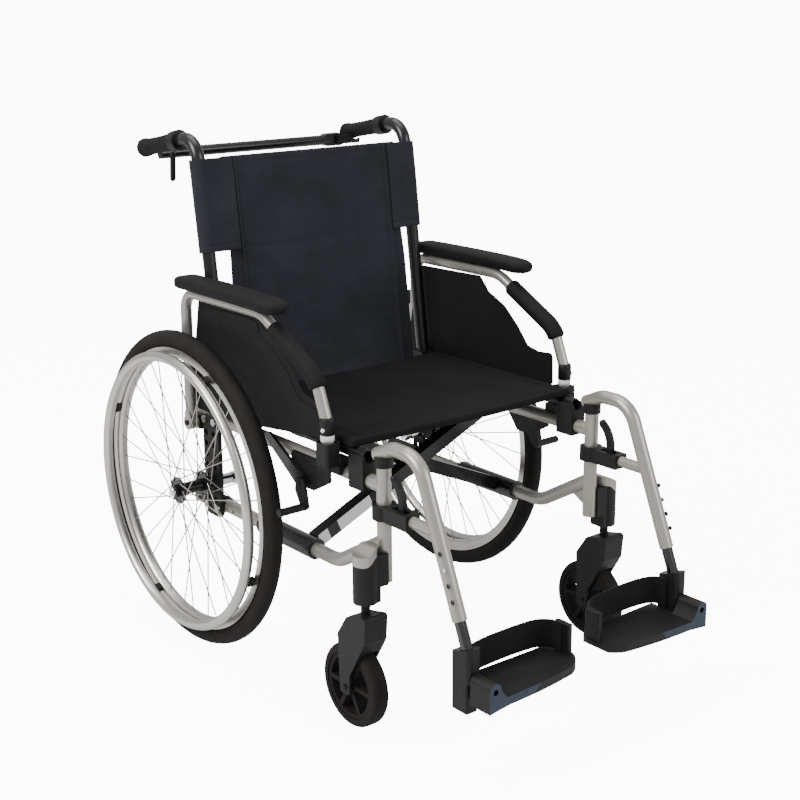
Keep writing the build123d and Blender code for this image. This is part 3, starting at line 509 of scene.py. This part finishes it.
def seat_point(u, v, layer, sign):
    """A point on the seat cloth: u runs from the middle crease to the rail, v from front to rear."""
    x = SEAT_GAP + u * (SEAT_HALF - SEAT_GAP)
    y = SEAT_FRONT + v * (SEAT_REAR - SEAT_FRONT)
    sag = -SEAT_SAG * math.cos(math.pi * u / 2) * (0.55 + 0.45 * math.sin(math.pi * v))
    rim_v = min(v, 1 - v) * (SEAT_REAR - SEAT_FRONT)
    rim_u = (1 - u) * SEAT_HALF
    round_v = math.sqrt(max(0.0, 1 - (1 - min(rim_v / 6.0, 1)) ** 2))
    round_u = math.sqrt(max(0.0, 1 - (1 - min(rim_u / 9.0, 1)) ** 2))
    if layer:
        return Vector((sign * x, y, SEAT_TOP - SEAT_THICK + sag * 0.9))
    p = Vector((sign * x * 0.010, y * 0.008, 3.1))
    wrinkle = 1.5 * noise.noise(p * 1.2) + 0.8 * noise.noise(p * 3.2 + Vector((5, 1, 2)))
    calm = min(rim_v / 25.0, 1.0) * min(rim_u / 25.0, 1.0)
    seam = -1.6 * math.exp(-(((rim_u - RAIL_SEAM) / 2.2) ** 2))
    hem = -1.2 * math.exp(-(((rim_v - SEAT_HEM) / 2.2) ** 2))
    rounding = SEAT_THICK * (1 - round_v * round_u) * 0.9
    return Vector((sign * x, y, SEAT_TOP + sag - rounding + wrinkle * calm + seam + hem))


def seat_half(side, sign):
    """One half of the seat cloth; the two meet flush at the crease in the middle."""
    nx, ny = 96, 130
    verts, faces = [], []
    for layer in (0, 1):
        for i in range(nx + 1):
            for j in range(ny + 1):
                q = seat_point(i / nx, j / ny, layer, sign)
                verts.append(at(q.x, q.y, q.z))
    stride = ny + 1
    block = (nx + 1) * stride
    for i in range(nx):
        for j in range(ny):
            a = i * stride + j
            faces.append((a, a + 1, a + 1 + stride, a + stride))
            b = block + a
            faces.append((b, b + stride, b + 1 + stride, b + 1))
    for i in range(nx):
        a, b = i * stride, (i + 1) * stride
        faces.append((a, b, block + b, block + a))
        faces.append((b + ny, a + ny, block + a + ny, block + b + ny))
    for j in range(ny):
        faces.append((j + 1, j, block + j, block + j + 1))
        a = nx * stride + j
        faces.append((a, a + 1, block + a + 1, block + a))
    obj = new_object("seat_cover_" + side, verts, faces, M["seat"])
    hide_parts("seat_sling_" + side)
    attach(obj, "seat_" + side)


for side, sign in SIDES:
    seat_half(side, sign)


# ------------------------------------------------------------------ soft pieces: the back
LEAN_ANGLE = math.radians(7.6)
LEAN = math.tan(LEAN_ANGLE)
FRONT = Vector((0, -math.cos(LEAN_ANGLE), math.sin(LEAN_ANGLE)))
POST_FOOT_Y, POST_FOOT_Z = -33.0, 430.0
PANEL_LOW, PANEL_HIGH = 476.0, 921.0
POCKET_LOW, POCKET_HIGH = 749.0, 919.0
POCKET_OUT, POCKET_IN = 262.0, 181.5
POCKET_CLOTH = 1.4 * MM
PANEL_OFF = 15.0  # from the posts' axes to the panel
PANEL_THICK = 5.0
PANEL_TOP_HALF = 204.0
PANEL_WIDENS = 3.5
SEAM_X = 178.0
CREASE_Z = 750.0


def lean_y(z):
    """Where the back post's axis is at height z, in mm."""
    return POST_FOOT_Y + (z - POST_FOOT_Z) * LEAN


def back_wave(x, z):
    """How far the cloth stands from its flat plane, in mm, positive to the front."""
    p = Vector((x * 0.008, z * 0.006, 2.0))
    wave = 2.4 * noise.noise(p) + 1.1 * noise.noise(p * 2.7 + Vector((3, 7, 1)))
    wave += 0.5 * noise.noise(Vector((x * 0.012, z * 0.06, 5.0)))
    inside = max(0.0, 1 - (x / 205.0) ** 2)
    belly = -10.0 * inside * math.sin(math.pi * min(max((z - 480) / 470.0, 0), 1))
    crease = -0.9 * math.exp(-(((z - CREASE_Z - 3 * math.sin(x * 0.02)) / 6.0) ** 2))
    return wave * min(1.0, inside * 3 + 0.15) + belly + crease * min(1.0, inside * 3)


def panel_edge(z):
    """Half the main panel's width at height z; it widens a little below the pockets."""
    below = max(0.0, POCKET_LOW + 3.0 - z)
    return PANEL_TOP_HALF + PANEL_WIDENS * min(below / 60.0, 1.0)


PANEL_X = np.concatenate(
    [
        np.linspace(-1.0, -0.905, 8),
        np.linspace(-0.90, -0.83, 16),
        np.linspace(-0.815, 0.815, 84),
        np.linspace(0.83, 0.90, 16),
        np.linspace(0.905, 1.0, 8),
    ]
)


def seam_ridge(x):
    """The piping where the side strips are sewn on."""
    ridge = 4.6 * math.exp(-(((abs(x) - SEAM_X) / 2.4) ** 2))
    groove = 1.6 * math.exp(-(((abs(x) - SEAM_X + 6.5) / 2.2) ** 2))
    return ridge - groove


def slab(name, across, rows, place, thick, material):
    """A thick cloth panel; place gives the front point in mm for a column value and a height share."""
    verts, faces = [], []
    columns = len(across) - 1
    for layer in (0, 1):
        for i in range(columns + 1):
            for j in range(rows + 1):
                p = place(across[i], j / rows)
                rim = min(i, columns - i, j, rows - j)
                inset = thick * (0.28 if rim == 0 else 0.0)
                q = p - FRONT * (inset + (thick - 2 * inset) * layer)
                verts.append(at(q.x, q.y, q.z))
    stride = rows + 1
    block = (columns + 1) * stride
    for i in range(columns):
        for j in range(rows):
            a = i * stride + j
            faces.append((a, a + stride, a + 1 + stride, a + 1))
            faces.append((block + a, block + a + 1, block + a + 1 + stride, block + a + stride))
    for i in range(columns):
        a, b = i * stride, (i + 1) * stride
        faces.append((a, block + a, block + b, b))
        faces.append((b + rows, block + b + rows, block + a + rows, a + rows))
    for j in range(rows):
        faces.append((j + 1, block + j + 1, block + j, j))
        a = columns * stride + j
        faces.append((a, block + a, block + a + 1, a + 1))
    return new_object(name, verts, faces, material)


def place_panel(u, v):
    z = PANEL_LOW + v * (PANEL_HIGH - PANEL_LOW)
    x = u * panel_edge(z)
    hem = -0.9 * math.exp(-(((PANEL_HIGH - z - 14) / 2.5) ** 2))
    return Vector((x, lean_y(z), z)) + FRONT * (PANEL_OFF + back_wave(x, z) + seam_ridge(x) + hem)


back_panel = slab("back_panel", PANEL_X, 150, place_panel, PANEL_THICK, M["cloth"])
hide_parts("back_sling")
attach(back_panel, "left_frame")
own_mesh(back_panel)


def pocket_section(count):
    """The sleeve's outline as (outward, forward) offsets from the post's axis.

    It is round about the post and flat out to the seam.
    """
    ring = []
    reach = POCKET_OUT - FRAME_X
    inner = FRAME_X - POCKET_IN
    for j in range(count):
        t = 2 * math.pi * j / count
        c, s = math.cos(t), math.sin(t)
        if c >= 0:
            ring.append((reach * c, (reach - 1.0) * s))
            continue
        share = abs(c) ** 1.1
        front = (reach - 1.0) + 3.4 * share
        rear = -(reach - 1.0) * (1 - share) + (PANEL_OFF - 7.0) * share
        half = (front - rear) / 2 * min(1.0, abs(s) * 2.5)
        ring.append((-inner * share, (front + rear) / 2 + math.copysign(half, s)))
    return ring


def pocket(side, sign):
    """The sleeve of cloth that is slipped over one back post."""
    rows, count = 90, 96
    section = pocket_section(count)
    verts, faces = [], []
    for k in range(rows + 1):
        z = POCKET_LOW + (POCKET_HIGH - POCKET_LOW) * k / rows
        for out, forward in section:
            x = FRAME_X + out
            p = Vector((x * 0.02, z * 0.012, sign * 2 + forward * 0.02))
            ripple = 1.1 * noise.noise(p * 1.5) + 0.4 * noise.noise(p * 4.0)
            hem = -0.7 * math.exp(-(((z - POCKET_LOW - 12) / 2.0) ** 2))
            outward = 1 if forward > 0 else -1
            q = Vector((sign * x, lean_y(z), z)) + FRONT * (forward + (ripple + hem) * outward)
            verts.append(at(q.x, q.y, q.z))
    for k in range(rows):
        for j in range(count):
            a, b = k * count + j, k * count + (j + 1) % count
            faces.append((a, b, b + count, a + count))
    obj = new_object("back_pocket_" + side, verts, faces, M["cloth"])
    solid = obj.modifiers.new("thick", "SOLIDIFY")
    solid.thickness = POCKET_CLOTH
    solid.offset = -1
    return trim(obj, side + "_frame")


for side, sign in SIDES:
    pocket(side, sign)


# ------------------------------------------------------------------ arm pads, foam sleeves and collars
ARM_LINE = [(42, 436), (42, 676), (-218, 676), (-376, 592), (-405, 520), (-405, 452)]
ARM_PATH = fillet_path(ARM_LINE, (36, 80, 60, 50))
ARM_FOOT_Y = -405.0
PAD_X = 288.0


def arm_pad(side, sign):
    spine = [(36, 697), (22, 699), (-100, 700), (-220, 699), (-276, 696), (-291, 691)]
    path = smooth_path([at(sign * PAD_X, y, z) for y, z in spine], 90)

    def section(t):
        grow = min(rounded_end(t, 0.08), rounded_end(1 - t, 0.11))
        return superellipse((5 + 22 * grow) * MM, (4 + 8.5 * grow) * MM, 3.2, 48)

    pad = swept("arm_pad_" + side, path, section, M["foam"])
    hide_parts("arm_padding_" + side)
    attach(pad, "armrest_" + side)


def arm_sleeve(side, sign):
    """The foam sleeve on the bent front part of the arm tube."""
    spine = [p for p in ARM_PATH if p.x < -250 and p.y > 572]
    path = smooth_path([at(sign * ARM_X, p.x, p.y) for p in spine], 60)

    def section(t):
        grow = min(rounded_end(t, 0.04), rounded_end(1 - t, 0.04))
        radius = (11.5 + 4.8 * grow) * MM
        return superellipse(radius, radius, 2.0, 36)

    sleeve = swept("arm_foam_" + side, path, section, M["foam"])
    trim(sleeve, "armrest_" + side)


def arm_fittings(side, sign):
    """The collar, spring pin and pale ring where the armrest enters its socket."""
    foot = at(sign * ARM_X, ARM_FOOT_Y, 0)
    up = Vector((0, 0, MM))
    collar = turned(
        "arm_collar_" + side,
        foot + up * 500,
        foot + up * 530,
        [(0, 11.0), (0.6, 12.6), (25, 12.8), (29, 11.6), (30, 10.7)],
        M["plastic"],
    )
    trim(collar, "armrest_" + side)
    low, high = foot + up * 488.5, foot + up * 500
    pale = turned("arm_ring_" + side, low, high, [(0, 11.9), (11.4, 11.9)], M["white"])
    trim(pale, "armrest_" + side)
    out = Vector((sign, -0.35, 0)).normalized()
    start = at(sign * ARM_X, ARM_FOOT_Y, 510) + out * 0.011
    profile = [(0, 4.2), (2.5, 4.2), (4.2, 3.4), (5.0, 1.5)]
    pin = turned("arm_pin_" + side, start, start + out, profile, M["chrome"], 20)
    trim(pin, "armrest_" + side)


for side, sign in SIDES:
    arm_pad(side, sign)
    arm_sleeve(side, sign)
    arm_fittings(side, sign)


# ------------------------------------------------------------------ side panels' embossed line
LINE_TOP = [(2, 652), (-168, 655), (-192, 630), (-240, 607)]
LINE_FRONT = [(-277, 576), (-308, 541), (-346, 533), (-371, 534)]
PANEL_FACE = 268.3


def emboss(side, sign):
    """The raised line that follows the panel's upper and front outline."""

    def section(t):
        return superellipse(1.6 * MM, 1.0 * MM, 2.0, 12)

    path = smooth_path([at(sign * PANEL_FACE, y, z) for y, z in LINE_TOP + LINE_FRONT], 120)
    ridge = swept("panel_line_" + side, path, section, M["panel"])
    trim(ridge, "armrest_" + side)


for side, sign in SIDES:
    emboss(side, sign)


# ------------------------------------------------------------------ push grips
BACK_TOP = 960.0
HANDLE_END_Y, HANDLE_END_Z = 228.0, 926.0
RING_PITCH = 7.5


def push_grip(side, sign):
    """A moulded grip with shallow rings and a wider end."""
    slope = math.atan2(BACK_TOP - HANDLE_END_Z, HANDLE_END_Y - lean_y(BACK_TOP))
    along = Vector((0, math.cos(slope), -math.sin(slope)))
    tip = at(sign * FRAME_X, HANDLE_END_Y, HANDLE_END_Z)
    end = tip + along * 0.006
    start = end - along * 0.118
    profile = [(0.0, 13.4), (0.4, 16.4), (3.0, 17.4), (8.0, 17.4), (10.0, 16.0)]
    for k in range(60):
        s = 10.0 + 92.0 * (k + 1) / 61
        ring = 0.45 * math.cos(2 * math.pi * s / RING_PITCH)
        waist = 0.9 * math.sin(math.pi * (s - 10) / 92)
        profile.append((s, 15.9 + ring - waist))
    profile += [(103.0, 16.2), (105.0, 17.9), (114.0, 18.0), (116.6, 16.8), (118.0, 13.0)]
    grip = turned("grip_cover_" + side, start, end, profile, M["grip"], 48)
    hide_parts("push_grip_" + side)
    trim(grip, side + "_frame")


for side, sign in SIDES:
    push_grip(side, sign)


def release_lever():
    """The small lever that hangs from the collar in front of the right grip."""
    run = [(244, 124, 925), (243, 127, 912), (240, 134, 890), (239, 137, 874), (239, 138, 869)]
    path = smooth_path([at(-x, y, z) for x, y, z in run], 40)

    def section(t):
        grow = min(rounded_end(t, 0.1), rounded_end(1 - t, 0.1))
        return superellipse((2.0 + 3.6 * grow) * MM, (1.5 + 2.4 * grow) * MM, 2.6, 24)

    lever = swept("bar_release", path, section, M["plastic"])
    trim(lever, "right_frame")


release_lever()


# ------------------------------------------------------------------ leg rest details
def leg_holes(side, sign):
    """The row of adjustment holes in the hanger: the spring button in one of them, and thin black discs in
    the others as painted shade for their dark insides.
    """
    for k in range(4):
        t = k / 3
        centre = at(sign * FRAME_X, -669 - 31 * t, 361 - 72 * t)
        out = Vector((sign, 0, 0))
        start = centre + out * 0.0119
        if k == 1:
            profile = [(0, 3.9), (0.9, 3.9), (1.6, 3.0), (1.9, 1.2)]
            material, slot = M["chrome"], "chrome_steel"
        else:
            # painted shade: a thin gloss-black disc over an open hole, standing in for the shade inside it
            profile = [(0, 4.1), (0.75, 4.1)]
            material, slot = M["gloss"], "black_plastic"
        mark = turned(f"leg_hole_{side}_{k}", start, start + out, profile, material, 20)
        trim(mark, "hanger_" + side)


for side, sign in SIDES:
    leg_holes(side, sign)


# ------------------------------------------------------------------ blank stickers on the front brace
BRACE_FOOT, BRACE_HEAD = Vector((-FRAME_X, 258.0)), Vector((FRAME_X, 471.0))
LABEL_HALF = 11.8
BRACE_FACE = -302.5


def sticker(name, near, far, half):
    """A thin pale label on the front face of the front brace, between two distances from its foot."""
    along = (BRACE_HEAD - BRACE_FOOT).normalized()
    across = Vector((-along.y, along.x))
    verts, faces = [], []
    for depth in (0.0, 0.35):
        for s, w in ((near, -half), (far, -half), (far, half), (near, half)):
            q = BRACE_FOOT + along * s + across * w
            verts.append(at(q.x, BRACE_FACE - depth, q.y))
    faces = [(0, 1, 2, 3), (7, 6, 5, 4), (0, 4, 5, 1), (1, 5, 6, 2), (2, 6, 7, 3), (3, 7, 4, 0)]
    label = new_object(name, verts, faces, M["label"], smooth=False)
    trim(label, "brace_right")


sticker("brace_label_long", 66.0, 146.0, LABEL_HALF)
sticker("brace_label_short", 20.0, 42.0, LABEL_HALF)


# ------------------------------------------------------------------ heel straps
STRAP_Z = 177.0
STRAP_OUTER = [(226, -722), (219, -700), (190, -690), (140, -687)]
STRAP_INNER = [(92, -688), (62, -693), (45, -708), (41, -730)]


def heel_strap(side, sign):
    """The web strap behind the heel; the left one rises a little towards its outer end."""
    lift = 0.0 if sign < 0 else 4.0
    run = []
    for x, y in STRAP_OUTER + STRAP_INNER:
        rise = lift * min(1.0, max(0.0, (x - 60) / 100))
        run.append(at(sign * x, y, STRAP_Z + rise))
    path = smooth_path(run, 90)

    def section(t):
        return superellipse(1.9 * MM, 25.5 * MM, 7.0, 28)

    strap = swept("heel_band_" + side, path, section, M["strap"])
    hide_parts("heel_strap_" + side)
    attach(strap, "footplate_" + side)
    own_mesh(strap)


for side, sign in SIDES:
    heel_strap(side, sign)

# ------------------------------------------------------------------ smooth shading on the frame's pieces
for node_name, node in NODES.items():
    if node.hide_render:
        continue
    node.data.shade_smooth()

# ------------------------------------------------------------------ stage
# The camera sees a bright floor and sky, while the chair is lit by the lamps and a dim sky.
FLOOR_GLOW = 10.6
SKY_SEEN = 11.0
SKY_LIGHT = 0.8
bpy.ops.mesh.primitive_plane_add(size=500, location=(0, 0, 0))
floor = bpy.context.object
floor.name = "floor"
ground = Paint("floor_paint", (0.75, 0.75, 0.75), rough=0.9)
ground.tint(1.2, 0.01)
seen = ground.add("ShaderNodeLightPath")
glow = ground.add("ShaderNodeMapRange")
glow.inputs["To Min"].default_value = 0.0
glow.inputs["To Max"].default_value = FLOOR_GLOW
ground.link(seen, "Is Camera Ray", glow, "Value")
ground.link(glow, "Result", ground.bsdf, "Emission Strength")
ground.bsdf.inputs["Emission Color"].default_value = (1, 1, 1, 1)
ground.bsdf.inputs["Specular IOR Level"].default_value = 0.0
floor.data.materials.append(ground.mat)

world = bpy.data.worlds.new("studio")
bpy.context.scene.world = world
world.use_nodes = True
sky = world.node_tree
sky.nodes["Background"].inputs["Color"].default_value = (1.0, 1.0, 1.0, 1)
backdrop = sky.nodes.new("ShaderNodeLightPath")
strength = sky.nodes.new("ShaderNodeMapRange")
strength.inputs["To Min"].default_value = SKY_LIGHT
strength.inputs["To Max"].default_value = SKY_SEEN
sky.links.new(backdrop.outputs["Is Camera Ray"], strength.inputs["Value"])
sky.links.new(strength.outputs["Result"], sky.nodes["Background"].inputs["Strength"])


def area(name, location, target, size, power):
    light = bpy.data.lights.new(name, "AREA")
    light.shape = "RECTANGLE"
    light.size, light.size_y = size
    light.energy = power
    obj = bpy.data.objects.new(name, light)
    obj.location = location
    obj.rotation_euler = (Vector(target) - Vector(location)).to_track_quat("-Z", "Y").to_euler()
    bpy.context.scene.collection.objects.link(obj)


area("key", (-3.0, 0.4, 2.6), (0, 0, 0.5), (1.8, 1.8), 150)
area("fill", (1.2, -3.4, 2.2), (0, 0, 0.4), (2.4, 2.0), 80)
area("top", (0.0, 0.6, 3.6), (0, 0, 0.4), (2.6, 2.6), 80)

# ------------------------------------------------------------------ camera
# It looks down at the chair from the front and the chair's right, a little tilted.
YAW, PITCH, ROLL = math.radians(38.36643), math.radians(15.80785), math.radians(-0.49818)
forward = Vector((math.sin(YAW) * math.cos(PITCH), math.cos(YAW) * math.cos(PITCH), -math.sin(PITCH)))
right0 = Vector((math.cos(YAW), -math.sin(YAW), 0))
up0 = right0.cross(forward)
right = right0 * math.cos(ROLL) + up0 * math.sin(ROLL)
up = -right0 * math.sin(ROLL) + up0 * math.cos(ROLL)
camera_data = bpy.data.cameras.new("camera")
camera = bpy.data.objects.new("camera", camera_data)
bpy.context.scene.collection.objects.link(camera)
place = at(-1615.16, -2270.19, 1209.18)
camera.matrix_world = Matrix(
    (
        (right.x, up.x, -forward.x, place.x),
        (right.y, up.y, -forward.y, place.y),
        (right.z, up.z, -forward.z, place.z),
        (0, 0, 0, 1),
    )
)
camera_data.sensor_width = 36
camera_data.lens = 64.4522
camera_data.shift_x = 0.0090818
camera_data.shift_y = -0.0008305
camera_data.clip_end = 1000
camera_data.dof.use_dof = False
bpy.context.scene.camera = camera
